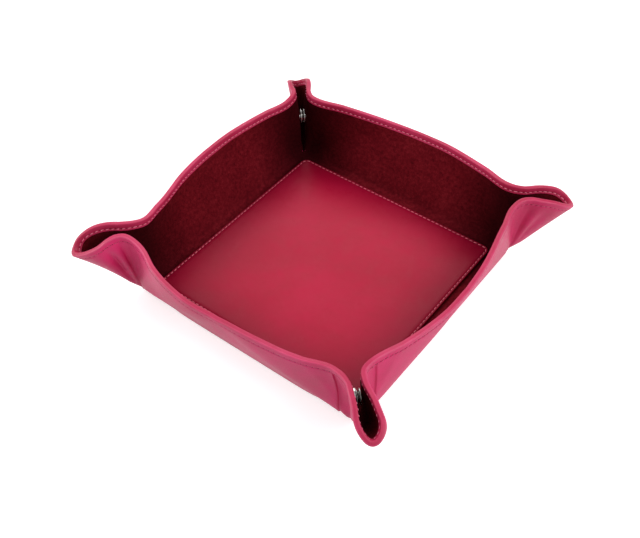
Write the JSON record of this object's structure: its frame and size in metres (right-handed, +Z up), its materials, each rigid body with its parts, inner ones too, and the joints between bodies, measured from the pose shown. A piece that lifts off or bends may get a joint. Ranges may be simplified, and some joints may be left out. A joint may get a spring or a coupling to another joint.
{
  "type": "folding dice tray",
  "caption": "Square leather dice tray with a stiff floor panel and lined walls, pinched into looped ears at the corners by concealed press studs so that it opens out flat.",
  "frame": {"origin": "centre of the underside, on the surface that the tray stands on", "axes": "+Z up, out of the open side; the front wall is toward -Y and the right wall toward +X"},
  "size_m": [0.2274, 0.2275, 0.0516],
  "materials": {
    "outer_leather": "pink smooth-grained leather, satin",
    "panel_leather": "crimson smooth leather, satin",
    "suede_lining": "burgundy microfibre suede, matt",
    "stiffener_board": "fibre board, raw",
    "nickel": "nickel-plated, bright"
  },
  "bodies": {
    "base": {"base_leather": "outer_leather", "base_board": "stiffener_board", "base_lining": "suede_lining", "floor_panel": "panel_leather"},
    "wall_front": {"wall_leather_front": "outer_leather", "wall_board_front": "stiffener_board", "wall_lining_front": "suede_lining"},
    "wall_back": {"wall_leather_back": "outer_leather", "wall_board_back": "stiffener_board", "wall_lining_back": "suede_lining"},
    "wall_left": {"wall_leather_left": "outer_leather", "wall_board_left": "stiffener_board", "wall_lining_left": "suede_lining"},
    "wall_right": {"wall_leather_right": "outer_leather", "wall_board_right": "stiffener_board", "wall_lining_right": "suede_lining"},
    "ear_front_left_f": {"ear_leather_front_left_f": "outer_leather", "ear_lining_front_left_f": "suede_lining", "snap_stud_front_left": "nickel", "snap_post_front_left": "nickel"},
    "ear_front_right_f": {"ear_leather_front_right_f": "outer_leather", "ear_lining_front_right_f": "suede_lining", "snap_stud_front_right": "nickel", "snap_post_front_right": "nickel"},
    "ear_back_left_b": {"ear_leather_back_left_b": "outer_leather", "ear_lining_back_left_b": "suede_lining", "snap_stud_back_left": "nickel", "snap_post_back_left": "nickel"},
    "ear_back_right_b": {"ear_leather_back_right_b": "outer_leather", "ear_lining_back_right_b": "suede_lining", "snap_stud_back_right": "nickel", "snap_post_back_right": "nickel"},
    "ear_front_left_l": {"ear_leather_front_left_l": "outer_leather", "ear_lining_front_left_l": "suede_lining", "snap_socket_front_left": "nickel", "snap_cap_front_left": "nickel"},
    "ear_back_left_l": {"ear_leather_back_left_l": "outer_leather", "ear_lining_back_left_l": "suede_lining", "snap_socket_back_left": "nickel", "snap_cap_back_left": "nickel"},
    "ear_front_right_r": {"ear_leather_front_right_r": "outer_leather", "ear_lining_front_right_r": "suede_lining", "snap_socket_front_right": "nickel", "snap_cap_front_right": "nickel"},
    "ear_back_right_r": {"ear_leather_back_right_r": "outer_leather", "ear_lining_back_right_r": "suede_lining", "snap_socket_back_right": "nickel", "snap_cap_back_right": "nickel"}
  },
  "joints": [
    {"name": "front_wall_fold", "type": "hinge", "parent": "base", "child": "wall_front", "pos_m": [0, -0.084, 0.0016], "axis": [1, 0, 0], "range_deg": [0, 64]},
    {"name": "back_wall_fold", "type": "hinge", "parent": "base", "child": "wall_back", "pos_m": [0, 0.084, 0.0016], "axis": [-1, 0, 0], "range_deg": [0, 64]},
    {"name": "left_wall_fold", "type": "hinge", "parent": "base", "child": "wall_left", "pos_m": [-0.084, 0, 0.0016], "axis": [0, -1, 0], "range_deg": [0, 64]},
    {"name": "right_wall_fold", "type": "hinge", "parent": "base", "child": "wall_right", "pos_m": [0.084, 0, 0.0016], "axis": [0, 1, 0], "range_deg": [0, 64]},
    {"name": "ear_fold_front_left_f", "type": "hinge", "parent": "wall_front", "child": "ear_front_left_f", "pos_m": [-0.084, -0.084, 0.0016], "axis": [-0.1158, 0.0758, -0.9904], "range_deg": [0, 38.5]},
    {"name": "ear_fold_front_right_f", "type": "hinge", "parent": "wall_front", "child": "ear_front_right_f", "pos_m": [0.084, -0.084, 0.0016], "axis": [-0.1158, -0.0758, 0.9904], "range_deg": [0, 38.5]},
    {"name": "ear_fold_back_left_b", "type": "hinge", "parent": "wall_back", "child": "ear_back_left_b", "pos_m": [-0.084, 0.084, 0.0016], "axis": [0.103, 0.0763, 0.9918], "range_deg": [0, 38.5]},
    {"name": "ear_fold_back_right_b", "type": "hinge", "parent": "wall_back", "child": "ear_back_right_b", "pos_m": [0.084, 0.084, 0.0016], "axis": [0.103, -0.0763, -0.9918], "range_deg": [0, 38.5]},
    {"name": "ear_fold_front_left_l", "type": "hinge", "parent": "wall_left", "child": "ear_front_left_l", "pos_m": [-0.084, -0.084, 0.0016], "axis": [-0.0773, 0.095, 0.9925], "range_deg": [0, 38.5]},
    {"name": "ear_fold_back_left_l", "type": "hinge", "parent": "wall_left", "child": "ear_back_left_l", "pos_m": [-0.084, 0.084, 0.0016], "axis": [0.0773, 0.095, -0.9925], "range_deg": [0, 38.5]},
    {"name": "ear_fold_front_right_r", "type": "hinge", "parent": "wall_right", "child": "ear_front_right_r", "pos_m": [0.084, -0.084, 0.0016], "axis": [-0.0763, -0.103, -0.9918], "range_deg": [0, 38.5]},
    {"name": "ear_fold_back_right_r", "type": "hinge", "parent": "wall_right", "child": "ear_back_right_r", "pos_m": [0.084, 0.084, 0.0016], "axis": [0.0763, -0.103, 0.9918], "range_deg": [0, 38.5]}
  ],
  "couplings": [
    {"joint": "back_wall_fold", "follows": "front_wall_fold", "ratio": 1},
    {"joint": "left_wall_fold", "follows": "front_wall_fold", "ratio": 1},
    {"joint": "right_wall_fold", "follows": "front_wall_fold", "ratio": 1},
    {"joint": "ear_fold_front_left_f", "follows": "front_wall_fold", "ratio": 0.6},
    {"joint": "ear_fold_front_right_f", "follows": "front_wall_fold", "ratio": 0.6},
    {"joint": "ear_fold_back_left_b", "follows": "front_wall_fold", "ratio": 0.6},
    {"joint": "ear_fold_back_right_b", "follows": "front_wall_fold", "ratio": 0.6},
    {"joint": "ear_fold_front_left_l", "follows": "front_wall_fold", "ratio": 0.6},
    {"joint": "ear_fold_back_left_l", "follows": "front_wall_fold", "ratio": 0.6},
    {"joint": "ear_fold_front_right_r", "follows": "front_wall_fold", "ratio": 0.6},
    {"joint": "ear_fold_back_right_r", "follows": "front_wall_fold", "ratio": 0.6}
  ]
}
